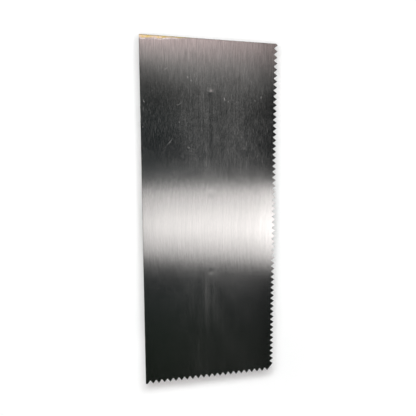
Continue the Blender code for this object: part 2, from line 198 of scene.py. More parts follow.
# Scratches and specks on the face: middle x and y, length and half width in millimetres, the turn
# of its run from +Y towards -X in degrees, how far it bows aside in millimetres, and its strength.
MARKS = (
    (-35.5, 116.2, 5.2, 0.44, -53, 0.3, 0.30),
    (-32.1, 116.0, 2.4, 0.38, 28, 0.0, 0.23),
    (-18.7, 110.2, 2.6, 0.62, 8, 0.0, 0.38),
    (-16.0, 108.1, 4.0, 0.44, 15, 0.0, 0.23),
    (-13.3, 112.3, 3.0, 0.50, 5, 0.0, 0.23),
    (11.1, 94.4, 3.0, 0.44, 4, 0.0, 0.57),
    (14.4, 92.6, 1.6, 0.44, 10, 0.0, 0.30),
    (37.1, 94.2, 2.8, 0.44, 26, 0.0, 0.30),
    (42.3, 96.8, 2.8, 0.50, 0, 0.0, 0.49),
    (-25.6, 89.2, 6.0, 0.38, -60, 1.0, 0.38),
    (-25.7, 75.3, 1.6, 0.75, 40, 0.0, 0.27),
    (-33.4, 59.5, 9.2, 0.44, -40, 0.7, 0.38),
    (-38.4, 52.2, 4.5, 0.38, -28, 0.3, 0.15),
    (-18.6, 55.3, 3.2, 0.56, 60, -0.6, 0.28),
    (-16.2, 52.6, 1.4, 0.62, 0, 0.0, 0.23),
    (-53.2, 90.8, 3.6, 0.50, 18, 0.0, 0.42),
    (-53.5, 84.4, 4.4, 0.44, 0, 0.0, 0.28),
    (-54.3, 71.0, 1.6, 0.50, 0, 0.0, 0.34),
    (-53.9, 54.0, 4.0, 0.44, 0, 0.0, 0.27),
    (43.9, 48.4, 3.0, 0.44, 10, 0.0, 0.17),
    (46.4, 38.2, 2.2, 0.44, -65, 0.0, 0.17),
    (25.3, 65.3, 4.6, 0.56, 3, 0.0, 0.19),
    (30.0, 59.0, 5.4, 0.62, -4, 0.0, 0.23),
    (28.0, 55.0, 2.6, 0.50, 8, 0.0, 0.19),
    (-44.4, -59.2, 3.4, 0.88, -80, 0.4, 0.15),
    (23.6, -91.0, 4.4, 0.44, 0, 0.0, 0.10),
    (22.5, -96.4, 2.8, 0.44, 10, 0.0, 0.10),
    (-10.8, -112.0, 8.0, 0.50, 2, 0.2, 0.09),
    (-11.5, -123.0, 2.0, 0.75, 80, 0.0, 0.10),
    (-20.9, -97.5, 2.6, 1.38, 0, 0.0, 0.04),
)
MARK_SHARE = 0.6
# Upright lines in the haze over the rail: x, half width, lowest and highest y, all in millimetres,
# and strength.
RAIL_LINES = (
    (-1, 6.5, -98, -38, 0.55),
    (0.2, 1, -98, -46, -0.4),
    (0, 1.3, 38, 97, -0.45),
    (-3.7, 1.5, -110, -46, 0.8),
    (3.2, 1, -80, -46, 0.4),
    (-3.8, 1.5, 20, 90, 0.35),
)
# Textures of the haze: the noise's scale per metre, its detail, and its least and greatest factor.
HAZE_TEXTURES = (
    ((75, 45, 1), 5, 0.5, 1.5),
    ((900, 17, 1), 3, 0.62, 1.4),
    ((1100, 600, 1), 2, 0.55, 1.5),
)
# A dark upright line leaves at least this share of the haze.
LEAST_LINE = 0.1
# An upright line is full as far as the first many half widths and gone at the second, and its ends
# fade over the last, in millimetres.
LINE_CORE = 0.2
LINE_REACH = 1.6
LINE_END_FADE = 12
# Fine hairline scratches: the turns of their runs in radians, and their strength.
HAIR_TURNS = (0.5, -0.35)
HAIR_STRENGTH = 0.05
# Dull stains near the long edges: x, y, half width and half height in millimetres, and the gain
# of the steel's tone at the middle.
STAINS = (
    (-58, 110, 30, 15, -0.2),
    (-36, 94, 24, 16, -0.14),
    (58, 91, 26, 15, -0.26),
    (-36, 53, 30, 20, -0.2),
    (48, 62, 16, 12, -0.12),
    (-46, -50, 26, 24, -0.15),
)
# Where a painted highlight makes the steel brightest along its length, in millimetres from the
# middle.
PAINTED_HIGHLIGHT_MIDDLE = -8.0
# Where the steel's tone starts and ends its changes, in millimetres: by x at the two long edges,
# by y away from the brightest part of the painted highlight, and by y where dark strands show above
# and below it.
LEFT_EDGE = (-56, -40)
# At the toothed edge the steel carries a painted highlight beside the reflected band and painted shade
# away from it.
PAINTED_LIGHT_EDGE = (34, 52)
PAINTED_LIGHT_END = (30, 54)
UPPER_PART = (40, 95)
LOWER_PART = (-62, -40)
TONE_STRANDS = 0.14
# Fine specks over the face: how much the strongest scatter.
SPECKLE = 0.050
# An even dullness over the lower part of the face, as a share that scatters.
DULL_LOW = 0.005
# Fine brushed strands, mostly on the face's upper part: how much the strongest scatter.
STRANDS = 0.034
# The grip's grain rings turn about a pith outside the grip: x and z in metres.
PITH = (0.021, -0.034)
RINGS_PER_METRE = 560
RING_WANDER = 5.5
# The middle of the grip's belly, where the hand darkens it.
BELLY_Y = -0.02
WOOD_PALE = (0.60, 0.385, 0.205)
WOOD_DEEP = (0.43, 0.235, 0.105)
WOOD_FIBRE = (0.37, 0.20, 0.09)
WOOD_FLECK = (0.22, 0.11, 0.045)
WOOD_BROAD = (0.50, 0.29, 0.13)
WOOD_HANDLED = (0.24, 0.135, 0.065)
WOOD_BARE = (0.66, 0.47, 0.29)
CAST_DARK = (0.30, 0.30, 0.305)
CAST_PALE = (0.50, 0.50, 0.505)
# Painted shade in the casting's pits.
PIT_PAINTED_SHADE = (0.085, 0.085, 0.085)
# Grime with painted shade, round the rivets and along the top under the blade.
GRIME_AND_SHADE_COLOUR = (0.13, 0.12, 0.105)
# Grime and painted shade lie from the first to the second distance round a rivet.
GRIME_AND_SHADE_REACH = (0.0030, 0.0058)
RIVET_DARK = (0.36, 0.355, 0.35)
RIVET_PALE = (0.58, 0.575, 0.565)
ZINC_DARK = (0.50, 0.505, 0.51)
ZINC_PALE = (0.68, 0.68, 0.675)
ZINC_DULL = (0.46, 0.45, 0.43)

# -------- camera
CAMERA_PLACE = Vector((-0.06046, 0.03481, FACE_Z + 0.28855))
CAMERA_FORWARD = Vector((0.19546515, -0.0962838, -0.97597275))
CAMERA_UP = Vector((0.02165559, 0.99535001, -0.09385832))
FOCAL_PIXELS = 358.38
FRAME_PIXELS = 416
SENSOR_WIDTH = 36.0

# -------- floor
FLOOR_SIZE = 6.0
FLOOR_DROP = 0.0001
FLOOR_COLOUR = (0.88, 0.9, 0.9, 1)

# -------- light
# The sky's tones go by the direction's Y, from -1 to 1.
OVERHEAD_STOPS = (
    (-0.55, (0.0002, 0.0045, 0.0004)),
    (-0.43, (0.0065, 0.0135, 0.009)),
    (-0.3, (0.0085, 0.015, 0.017)),
    (-0.03, (0.011, 0.022, 0.024)),
    (0.06, (0.008, 0.0145, 0.017)),
    (0.195, (0.02, 0.025, 0.024)),
    (0.235, (0.138, 0.143, 0.141)),
    (0.262, (0.305, 0.315, 0.308)),
    (0.285, (0.5, 0.47, 0.465)),
    (0.305, (0.78, 0.66, 0.66)),
    (0.33, (1.2, 0.95, 0.95)),
    (0.39, (1.6, 1.24, 1.2)),
    (0.45, (0.8, 0.76, 0.75)),
    (0.6, (0.4, 0.4, 0.4)),
)
# The strip softbox overhead: its brightness across, and how it grows towards +X.
BAND_STOPS = (
    (-0.270, 0.0),
    (-0.205, 0.68),
    (-0.155, 1.0),
    (-0.060, 0.62),
    (-0.016, 0.019),
    (0.065, 0.0),
)
BAND_LEVEL = 1.48
BAND_TINT = (1.0, 0.967, 0.962)
BAND_GROWTH = 1.1
# The pale room low down goes by the direction's Z.
LOW_LEVEL = 0.78
LOW_EDGE = (0.20, 0.50)
# How the pale wall beyond the plain end darkens towards +X: its rate, the level straight up, and
# the least and greatest level.
WALL_FADE = 2.6
WALL_LEVEL = 1.21
WALL_RANGE = (0.2, 1.7)
# How far the wall's and the strip's tones lean along Y on either side of this X.
LEAN_FROM = 0.2
WALL_LEAN = 0.11
BAND_LEAN = 0.02
# How much sooner the strip ends on its -Y side, away from that X.
BAND_PINCH = 0.45
# How the strip narrows towards -X about its middle: the middle's Y, the rate, and the X where its
# width is as the stops say.
BAND_CENTRE = -0.14
BAND_SPREAD = 0.3
BAND_SPREAD_FROM = 0.28
KEY_PLACE = (-0.0545, 0.0482, 0.3253)
# The lamp's softbox and its brighter middle: size and power of each.
KEY_LAMPS = (("key_wide", (0.080, 0.050), 5.0), ("key_middle", (0.040, 0.034), 4.4))
# What the floor glows for the camera alone, to stay white away from the lamp: its growth with the
# distance squared.
FLOOR_LIFT_GROWTH = 2.3


# ======== mesh helpers
def link_object(name, data):
    made = bpy.data.objects.new(name, data)
    bpy.context.scene.collection.objects.link(made)
    return made


def arc(centre, radius, start_deg, end_deg, steps=6):
    """Points of an arc about a centre, both ends included."""
    points = []
    for i in range(steps + 1):
        angle = radians(start_deg + (end_deg - start_deg) * i / steps)
        points.append((centre[0] + radius * cos(angle), centre[1] + radius * sin(angle)))
    return points


def notch_centres(edge_length):
    room = edge_length - EDGE_TO_FIRST_NOTCH - CORNER_ROOM
    count = math.floor(room / NOTCH_PITCH) + 1
    return [EDGE_TO_FIRST_NOTCH + NOTCH_PITCH * i for i in range(count)]


def notch_points():
    mouth = (NOTCH_PITCH - TOOTH_TIP_FLAT) / 2
    root = NOTCH_ROOT_FLAT / 2
    return [(-mouth, 0), (-root, NOTCH_DEPTH), (root, NOTCH_DEPTH), (mouth, 0)]


def blade_outline():
    """The blade's outline, clockwise seen from above, from the plain corner at -X, +Y."""
    width = BLADE_HALF_WIDTH
    length = BLADE_HALF_LENGTH
    points = [(-width, length)]
    toe = TOE_CORNER_RADIUS
    points += arc((width - toe, length - toe), toe, 90, 0, CORNER_STEPS)
    for place in notch_centres(2 * length):
        for along, depth in notch_points():
            points.append((width - depth, length - place - along))
    for place in reversed(notch_centres(2 * width)):
        for along, depth in notch_points():
            points.append((-width + place - along, -length + depth))
    heel = HEEL_CORNER_RADIUS
    points += arc((-width + heel, -length + heel), heel, 270, 180, CORNER_STEPS)
    return points


def with_steps(points, step):
    """The closed outline with its long sides divided."""
    found = []
    for (x0, y0), (x1, y1) in zip(points, points[1:] + points[:1]):
        count = max(1, math.ceil(math.hypot(x1 - x0, y1 - y0) / step))
        found += [(x0 + (x1 - x0) * i / count, y0 + (y1 - y0) * i / count) for i in range(count)]
    return found


def inset(points, distance):
    """A clockwise closed outline moved inwards, each corner along its bisector."""
    found = []
    count = len(points)
    for i, (x, y) in enumerate(points):
        before = Vector(points[i]) - Vector(points[i - 1])
        after = Vector(points[(i + 1) % count]) - Vector(points[i])
        normals = [Vector((d.y, -d.x)).normalized() for d in (before, after)]
        middle = (normals[0] + normals[1]).normalized()
        reach = distance / max(SHARPEST_CORNER, middle.dot(normals[0]))
        found.append((x + middle.x * reach, y + middle.y * reach))
    return found


def face_relief(x, y):
    """Height of the working face over the blade's highest plane: never above it."""
    height = -RELIEF_ROOM
    for mark_x, mark_y, rise, radius in STUD_MARKS:
        square = ((x - mark_x) ** 2 + (y - mark_y) ** 2) / radius**2
        if square < MARK_REACH_SQUARE:
            height += rise * math.exp(-square)
    if abs(y) < RIB_HALF_LENGTH:
        height -= RIB_DEPTH * math.exp(-((x / RIB_HALF_WIDTH) ** 2))
    return min(0.0, height)


def make_blade():
    """The sheet with eased edges, a fine face and the faint dents of the rail behind it."""
    outer = with_steps(blade_outline(), PLAIN_EDGE_STEP)
    inner = inset(outer, EDGE_EASE)
    build = bmesh.new()

    def ring(points, z, relief=False):
        return [build.verts.new((x, y, z + (face_relief(x, y) if relief else 0))) for x, y in points]

    top_in = ring(inner, FACE_Z, relief=True)
    top_out = ring(outer, FACE_Z - RELIEF_ROOM - EDGE_EASE)
    low_out = ring(outer, BLADE_LOW.z + EDGE_EASE)
    low_in = ring(inner, BLADE_LOW.z)
    stitch(build, (top_in, top_out, low_out, low_in))
    left = -BLADE_HALF_WIDTH + GRID_MARGIN
    right = BLADE_HALF_WIDTH - NOTCH_DEPTH - GRID_MARGIN
    low = -BLADE_HALF_LENGTH + NOTCH_DEPTH + GRID_MARGIN
    high = BLADE_HALF_LENGTH - GRID_MARGIN
    columns = math.ceil((right - left) / GRID_STEP)
    rows = math.ceil((high - low) / GRID_STEP)
    grid = []
    for j in range(rows + 1):
        y = low + (high - low) * j / rows
        line = [(left + (right - left) * i / columns, y) for i in range(columns + 1)]
        grid.append(ring(line, FACE_Z, relief=True))
    for j in range(rows):
        for i in range(columns):
            build.faces.new((grid[j][i], grid[j][i + 1], grid[j + 1][i + 1], grid[j + 1][i]))
    edge_of_grid = grid[0][:-1] + [line[-1] for line in grid[:-1]]
    edge_of_grid += grid[-1][:0:-1] + [line[0] for line in grid[:0:-1]]

    def loop_edges(loop):
        pairs = zip(loop, loop[1:] + loop[:1])
        return [build.edges.get(pair) or build.edges.new(pair) for pair in pairs]

    border = loop_edges(top_in) + loop_edges(edge_of_grid)
    bmesh.ops.triangle_fill(build, use_beauty=True, edges=border, normal=(0, 0, 1))
    bmesh.ops.triangle_fill(build, use_beauty=True, edges=loop_edges(low_in), normal=(0, 0, -1))
    bmesh.ops.recalc_face_normals(build, faces=build.faces)
    mesh = bpy.data.meshes.new("blade_sheet")
    uv = build.loops.layers.uv.new("along")
    for face in build.faces:
        for loop in face.loops:
            loop[uv].uv = (loop.vert.co.x + 0.5, loop.vert.co.y + 0.5)
    build.to_mesh(mesh)
    build.free()
    shade_round(mesh, BLADE_SHARP_ANGLE)
    return link_object("blade_sheet", mesh)


def modify(piece, name, kind, **settings):
    modifier = piece.modifiers.new(name, kind)
    for key, value in settings.items():
        setattr(modifier, key, value)


def settled(piece):
    """The piece with its modifiers applied."""
    bpy.context.view_layer.update()
    evaluated = piece.evaluated_get(bpy.context.evaluated_depsgraph_get())
    mesh = bpy.data.meshes.new_from_object(evaluated)
    mesh.materials.clear()
    mesh.polygons.foreach_set("material_index", [0] * len(mesh.polygons))
    piece.modifiers.clear()
    piece.data = mesh
    return piece


def shade_round(mesh, degrees=35):
    mesh.shade_smooth()
    mesh.set_sharp_from_angle(angle=radians(degrees))


def finish_mesh(name, build, degrees=35):
    bmesh.ops.recalc_face_normals(build, faces=build.faces)
    mesh = bpy.data.meshes.new(name)
    build.to_mesh(mesh)
    build.free()
    shade_round(mesh, degrees)
    return link_object(name, mesh)


def stitch(build, rings, closed_ends=False, round_and_round=False):
    """Faces between neighbouring rings. A ring of one vertex is a tip."""
    pairs = list(zip(rings, rings[1:]))
    if round_and_round:
        pairs.append((rings[-1], rings[0]))
    for first, second in pairs:
        count = max(len(first), len(second))
        for i in range(count):
            j = (i + 1) % count
            corners = [first[i % len(first)], first[j % len(first)]]
            corners += [second[j % len(second)], second[i % len(second)]]
            build.faces.new(list(dict.fromkeys(corners)))
    if closed_ends:
        build.faces.new(reversed(rings[0]))
        build.faces.new(rings[-1])


def lathe(name, profile, place=(0, AXIS_Z), axis="Y", steps=96, ring=False, shape=None):
    """A turned piece. The profile's points are (radius, height along the axis in the world).

    A ring's profile is closed, and shape, if given, may move each of its points.
    """
    build = bmesh.new()
    loops = []
    for radius, height in profile:
        count = 1 if radius < SAME_PLACE else steps
        loop = []
        for i in range(count):
            angle = 2 * pi * i / steps
            across = radius * cos(angle)
            aside = radius * sin(angle)
            if axis == "Y":
                point = Vector((place[0] + across, height, place[1] + aside))
            else:
                point = Vector((place[0] + across, place[1] + aside, height))
            loop.append(build.verts.new(shape(point) if shape else point))
        loops.append(loop)
    stitch(build, loops, round_and_round=ring)
    return finish_mesh(name, build)


def subtract(piece, cutters):
    """The piece less its cutters, without the faces that a cut leaves back to back."""
    for cutter in cutters:
        modify(piece, "cut", "BOOLEAN", operation="DIFFERENCE", solver="MANIFOLD", object=cutter)
    settled(piece)
    build = bmesh.new()
    build.from_mesh(piece.data)
    bmesh.ops.remove_doubles(build, verts=build.verts, dist=SAME_PLACE)
    bmesh.ops.triangulate(build, faces=build.faces)
    by_corners = {}
    for face in build.faces:
        by_corners.setdefault(frozenset(face.verts), []).append(face)
    flaps = [face for group in by_corners.values() if len(group) > 1 for face in group]
    bmesh.ops.delete(build, geom=flaps, context="FACES")
    build.to_mesh(piece.data)
    build.free()
    for cutter in cutters:
        bpy.data.objects.remove(cutter)


# ======== cast mounting
def rivet_y(name):
    low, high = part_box(name)
    return (low.y + high.y) / 2


def rail_height(y):
    share = min(1, abs(y) / RAIL_HALF)
    return RAIL_END_HEIGHT + (RAIL_HEIGHT - RAIL_END_HEIGHT) * cos(share * pi / 2)


def rail_ring(y, steps=28):
    past_round = max(0, abs(y) - (RAIL_HALF - RAIL_WIDTH / 2))
    half = math.sqrt(max(0, (RAIL_WIDTH / 2) ** 2 - past_round**2))
    height = rail_height(y)
    side = height * RAIL_SHOULDER
    ring = [(-half, y, RAIL_BASE_Z)]
    for i in range(steps + 1):
        angle = pi * i / steps
        drop = side + (height - side) * sin(angle)
        ring.append((-half * cos(angle), y, RAIL_BASE_Z - drop))
    ring.append((half, y, RAIL_BASE_Z))
    return ring


def rail_stations():
    straight = RAIL_HALF - RAIL_WIDTH / 2
    ends = [straight + RAIL_WIDTH / 2 * sin(radians(angle)) for angle in RAIL_END_ANGLES]
    count = math.ceil(2 * straight / RAIL_STATION_STEP)
    middle = [straight * (2 * i / count - 1) for i in range(count + 1)]
    return [-y for y in reversed(ends)] + middle + ends


def neck_ring(y, z, along, half_width, half_depth, steps=48):
    ring = []
    for i in range(steps):
        angle = 2 * pi * i / steps
        outward = half_depth * sin(angle)
        point = (y + outward * cos(along), z - outward * sin(along))
        ring.append((half_width * cos(angle), *point))
    return ring


def neck_rings(neck_y):
    bend_z = AXIS_Z + NECK_BEND_RADIUS
    top_z = RAIL_BASE_Z - RAIL_HEIGHT * RAIL_SHOULDER
    crown_z = RAIL_BASE_Z - RAIL_HEIGHT
    rings = []
    stem_steps = 26
    for i in range(stem_steps):
        z = top_z + (bend_z - top_z) * i / stem_steps
        flare = NECK_FLARE * math.exp(-max(0, crown_z - z) / NECK_FLARE_FADE)
        half_width = NECK_HALF_WIDTH + NECK_SIDE_FLARE * flare
        rings.append(neck_ring(neck_y, z, 0, half_width, NECK_HALF_DEPTH + flare))
    bend_steps = 36
    centre_y = neck_y - NECK_BEND_RADIUS
    for i in range(bend_steps + 1):
        angle = pi / 2 * i / bend_steps
        y = centre_y + NECK_BEND_RADIUS * cos(angle)
        z = bend_z - NECK_BEND_RADIUS * sin(angle)
        half_width = NECK_HALF_WIDTH + (NECK_HALF_DEPTH - NECK_HALF_WIDTH) * i / bend_steps
        rings.append(neck_ring(y, z, angle, half_width, NECK_HALF_DEPTH))
    # The neck widens a little into the boss.
    last = BOSS_FACE_Y + BOSS_LENGTH / 2
    for share in NECK_END_SHARES:
        half = NECK_HALF_DEPTH + NECK_WIDENING * share**2
        y = centre_y + (last - centre_y) * share
        rings.append(neck_ring(y, AXIS_Z, pi / 2, half, half))
    return rings


def loft(name, rings):
    build = bmesh.new()
    loops = [[build.verts.new(point) for point in ring] for ring in rings]
    stitch(build, loops, closed_ends=True)
    return finish_mesh(name, build)


def make_mounting():
    """One casting: the rail, the neck and the boss blended, with crisp machined seats and socket."""
    neck_y = (rivet_y(RIVET_NAMES[-1]) + rivet_y(RIVET_NAMES[-2])) / 2
    rail = loft("mounting_casting", [rail_ring(y) for y in rail_stations()])
    neck = loft("neck_form", neck_rings(neck_y))
    far = BOSS_FACE_Y + BOSS_LENGTH
    edge = BOSS_RADIUS - BOSS_EDGE
    profile = [(0, BOSS_FACE_Y)] + arc((edge, BOSS_FACE_Y + BOSS_EDGE), BOSS_EDGE, -90, 0)
    profile += arc((edge, far - BOSS_EDGE), BOSS_EDGE, 0, 90) + [(0, far)]
    boss = lathe("boss_form", profile)
    for form in (neck, boss):
        modify(rail, "join", "BOOLEAN", operation="UNION", solver="EXACT", object=form)
    modify(rail, "blend", "REMESH", mode="VOXEL", voxel_size=CAST_VOXEL)
    modify(rail, "soften", "SMOOTH", iterations=CAST_SMOOTHING)
    settled(rail)
    for form in (neck, boss):
        bpy.data.objects.remove(form)
    cutters = []
    for name in RIVET_NAMES:
        y = rivet_y(name)
        seat_z = RAIL_BASE_Z - rail_height(y) + RIVET_SEAT_SINK
        hole = RIVET_RADIUS + GAP
        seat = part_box(name)[1].x + GAP
        profile = [(0, RAIL_BASE_Z + CUT_PAST), (hole, RAIL_BASE_Z + CUT_PAST), (hole, seat_z)]
        profile += [(seat, seat_z), (seat, seat_z - CUT_PAST), (0, seat_z - CUT_PAST)]
        cutters.append(lathe(f"{name}_cutter", profile, (0, y), axis="Z", steps=CUTTER_STEPS))
    end = ROD_HIGH.y + GAP
    profile = [(0, end), (ROD_HOLE_RADIUS, end), (ROD_HOLE_RADIUS, BOSS_FACE_Y - CUT_PAST)]
    profile.append((0, BOSS_FACE_Y - CUT_PAST))
    cutters.append(lathe("socket_cutter", profile, steps=CUTTER_STEPS))
    subtract(rail, cutters)
    shade_round(rail.data, CAST_SHARP_ANGLE)
    return rail


def make_rivet(name):
    """A domed head, hammered a little flat, on its shank."""
    low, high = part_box(name)
    head = high.x
    seat_z = low.z + RIVET_HEAD_HEIGHT
    dome_z = seat_z - RIVET_EDGE
    profile = [(0, high.z), (RIVET_RADIUS, high.z), (RIVET_RADIUS, seat_z)]
    profile += arc((head - RIVET_EDGE, dome_z), RIVET_EDGE, 90, 0, 3)
    steps = 14
    for i in range(1, steps):
        angle = pi / 2 * i / steps
        height = (RIVET_HEAD_HEIGHT - RIVET_EDGE) * sin(angle) ** RIVET_DOME_POWER
        profile.append((head * cos(angle), dome_z - height))
    profile.append((0, low.z))
    return lathe(f"{name}_headed", profile, (0, rivet_y(name)), axis="Z", steps=56)


# ======== grip and its clamp
def grip_radius(height, length, shoulder):
    belly = length * GRIP_BELLY_SHARE
    if height < belly:
        low = GRIP_BUTT_RADIUS
        share = height / belly
    else:
        low = GRIP_WAIST_RADIUS
        share = (shoulder - height) / (shoulder - belly)
    return low + (GRIP_RADIUS - low) * sin(pi / 2 * share)


def planed(point):
    """Keeps a point of the grip above the flat planed along its crown, with an eased edge."""
    lift = max(CROWN_EASE - abs(point.z), 0) / CROWN_EASE
    point.z = max(point.z, 0) + lift * lift * CROWN_EASE / 4
    return point


def make_grip():
    """The turned wood: tenon, shoulder, belly and rounded butt, bored through."""
    butt, top = GRIP_LOW.y, GRIP_HIGH.y
    length = top - butt
    shoulder = FERRULE_LOW.y - butt
    tenon = FERRULE_HIGH.x - FERRULE_WALL - GAP
    ease = GRIP_EASE
    profile = [(ROD_HOLE_RADIUS, top), (tenon - ease, top), (tenon, top - ease)]
    profile.append((tenon, butt + shoulder))
    waist = grip_radius(shoulder, length, shoulder)
    profile += arc((waist - ease, butt + shoulder - ease), ease, 90, 0, 3)
    stations = 150
    for i in range(1, stations + 1):
        height = shoulder - ease + (GRIP_BUTT_EDGE - shoulder + ease) * i / stations
        profile.append((grip_radius(height, length, shoulder), butt + height))
    edge_radius = grip_radius(GRIP_BUTT_EDGE, length, shoulder)
    edge_steps = 14
    for i in range(1, edge_steps + 1):
        angle = pi / 2 * i / edge_steps
        inward = GRIP_BUTT_EDGE * (1 - cos(angle))
        profile.append((edge_radius - inward, butt + GRIP_BUTT_EDGE * (1 - sin(angle))))
    profile.append((ROD_HOLE_RADIUS, butt))
    return lathe("grip_wood", profile, steps=192, ring=True, shape=planed)


def make_ferrule():
    """A drawn cap with a rolled mouth and two pressed grooves."""
    low, high = FERRULE_LOW.y, FERRULE_HIGH.y
    outer = FERRULE_HIGH.x
    inner = outer - FERRULE_WALL
    end = high - FERRULE_END_WALL
    shoulder, roll, inner_roll = FERRULE_ROUNDS
    profile = [(ROD_HOLE_RADIUS, high)] + arc((outer - shoulder, high - shoulder), shoulder, 90, 0, 10)
    steps = 12
    for place in FERRULE_GROOVES:
        for i in range(steps + 1):
            share = i / steps
            dip = GROOVE_DEPTH * sin(pi * share) ** 2
            profile.append((outer - dip, low + place + GROOVE_WIDTH * (0.5 - share)))
    profile += [(outer - inward, low + above) for inward, above in FERRULE_BEAD]
    profile += arc((outer - roll, low + roll), roll, 20, -90, 6)
    profile += arc((inner + inner_roll, low + inner_roll), inner_roll, 270, 180, 4)
    profile += [(inner, end), (ROD_HOLE_RADIUS, end)]
    return lathe("ferrule_cap", profile, steps=128, ring=True)


def make_end_washer():
    """A turned washer, rounded at its outer edge and eased at the rest."""
    low, high = WASHER_LOW.y, WASHER_HIGH.y
    outer = WASHER_HIGH.x
    edge = WASHER_ROUND
    ease = WASHER_EASE
    profile = [(ROD_HOLE_RADIUS, high), (outer - ease, high), (outer, high - ease)]
    profile += arc((outer - edge, low + edge), edge, 0, -90, 5)
    profile += [(ROD_HOLE_RADIUS + ease, low), (ROD_HOLE_RADIUS, low + ease)]
    return lathe("end_washer_turned", profile, ring=True)


def make_spring_washer():
    """One turn of square wire, cut through, its ends sprung a little apart."""
    low = SPRING_LOW.y
    inner, outer = ROD_HOLE_RADIUS, SPRING_HIGH.x
    thick = SPRING_HIGH.y - low - SPRING_SPREAD
    ease = SPRING_EASE
    section = [(inner + ease, 0), (outer - ease, 0), (outer, ease), (outer, thick - ease)]
    section += [(outer - ease, thick), (inner + ease, thick), (inner, thick - ease), (inner, ease)]
    build = bmesh.new()
    steps = 90
    rings = []
    for i in range(steps + 1):
        share = i / steps
        angle = radians(SPRING_START + SPRING_TURN * share)
        across, aside = cos(angle), sin(angle)
        lift = low + SPRING_SPREAD * share
        points = [(r * across, lift + y, AXIS_Z + r * aside) for r, y in section]
        rings.append([build.verts.new(point) for point in points])
    stitch(build, rings, closed_ends=True)
    return finish_mesh("spring_washer_split", build)


def make_cap_nut():
    """A six-sided body with chamfered corners at both faces, a collar and a domed cap."""
    low, high = NUT_LOW.y, NUT_HIGH.y
    half_height = (NUT_HIGH.z - NUT_LOW.z) / 2
    corner = max(NUT_HIGH.x, half_height)
    first_corner = 90 if NUT_HIGH.x < half_height else 0
    half_flats = corner * cos(pi / 6)
    body_low = low + NUT_DOME_RADIUS
    chamfer_from = half_flats - NUT_CHAMFER_INSET
    steps = 16 * 6
    build = bmesh.new()

    def hexagon(angle_deg):
        off = (angle_deg - first_corner) % 60 - 30
        return half_flats / cos(radians(off))

    def chamfer(radius):
        return max(0, radius - chamfer_from) * math.tan(radians(30))

    def ring(radius_of, height_of):
        loop = []
        for i in range(steps):
            angle_deg = 360 * i / steps
            radius = radius_of(angle_deg)
            angle = radians(angle_deg)
            place = (radius * cos(angle), height_of(radius), AXIS_Z + radius * sin(angle))
            loop.append(build.verts.new(place))
        return loop

    def circle(radius, height):
        return ring(lambda angle: radius, lambda r: height)

    hole = ROD_HOLE_RADIUS
    rings = [circle(hole, high - NUT_HOLE_DEPTH), circle(hole, high - NUT_MOUTH)]
    rings += [circle(hole + NUT_MOUTH, high), circle(chamfer_from, high)]
    rings.append(ring(hexagon, lambda r: high - chamfer(r)))
    rings.append(ring(hexagon, lambda r: body_low + chamfer(r)))
    rings.append(circle(chamfer_from - NUT_COLLAR, body_low))
    rings.append(circle(NUT_DOME_RADIUS + NUT_COLLAR, body_low))
    dome_steps = 22
    for i in range(1, dome_steps):
        angle = pi / 2 * i / dome_steps
        rings.append(circle(NUT_DOME_RADIUS * cos(angle), body_low - NUT_DOME_RADIUS * sin(angle)))
    rings.append([build.verts.new((0, low, AXIS_Z))])
    stitch(build, rings)
    build.faces.new(rings[0])
    return finish_mesh("cap_nut_domed", build, degrees=NUT_SHARP_ANGLE)


# ======== materials
RANGE_SOCKETS = ("From Min", "From Max", "To Min", "To Max")


class Nodes:
    """A node tree with short calls for what it needs."""

    def __init__(self, owner):
        owner.use_nodes = True
        self.tree = owner.node_tree

    def node(self, kind, settings=None, **values):
        made = self.tree.nodes.new("ShaderNode" + kind)
        for name, value in (settings or {}).items():
            setattr(made, name, value)
        for name, value in values.items():
            self.feed(made.inputs[name.replace("_", " ")], value)
        return made

    def feed(self, socket, value):
        if isinstance(value, bpy.types.NodeSocket):
            self.tree.links.new(value, socket)
        else:
            socket.default_value = value

    def parts(self, vector):
        """The X, Y and Z of a vector."""
        return self.node("SeparateXYZ", Vector=vector).outputs

    def calculate(self, kind, settings, values):
        made = self.node(kind, settings)
        for socket, value in zip(made.inputs, values):
            self.feed(socket, value)
        return made.outputs

    def math(self, operation, *values, clamp=False):
        return self.calculate("Math", {"operation": operation, "use_clamp": clamp}, values)[0]

    def vector(self, operation, *values):
        return self.calculate("VectorMath", {"operation": operation}, values)

    plus = partialmethod(math, "ADD")
    minus = partialmethod(math, "SUBTRACT")
    times = partialmethod(math, "MULTIPLY")
    times_plus = partialmethod(math, "MULTIPLY_ADD")
    power = partialmethod(math, "POWER")
    larger = partialmethod(math, "MAXIMUM")
    smaller = partialmethod(math, "MINIMUM")

    def off(self, value, middle):
        """How far a value is from a middle one, either way."""
        return self.math("ABSOLUTE", self.minus(value, middle))

    def between(self, value, low, high, to_low=0.0, to_high=1.0, curve="LINEAR"):
        """The value's place between low and high, as a number from to_low to to_high."""
        made = self.node("MapRange", {"interpolation_type": curve}, Value=value)
        for name, number in zip(RANGE_SOCKETS, (low, high, to_low, to_high)):
            made.inputs[name].default_value = number
        return made.outputs["Result"]

    def fade(self, value, low, high, to_low=0.0, to_high=1.0):
        """As between, but with an eased start and end."""
        return self.between(value, low, high, to_low, to_high, "SMOOTHSTEP")

    def mix(self, share, first, second, kind="MIX"):
        made = self.node("Mix", {"data_type": "RGBA", "blend_type": kind}, Factor=share)
        for socket, value in zip(made.inputs[6:8], (first, second)):
            self.feed(socket, (*value, 1) if isinstance(value, tuple) else value)
        return made.outputs[2]


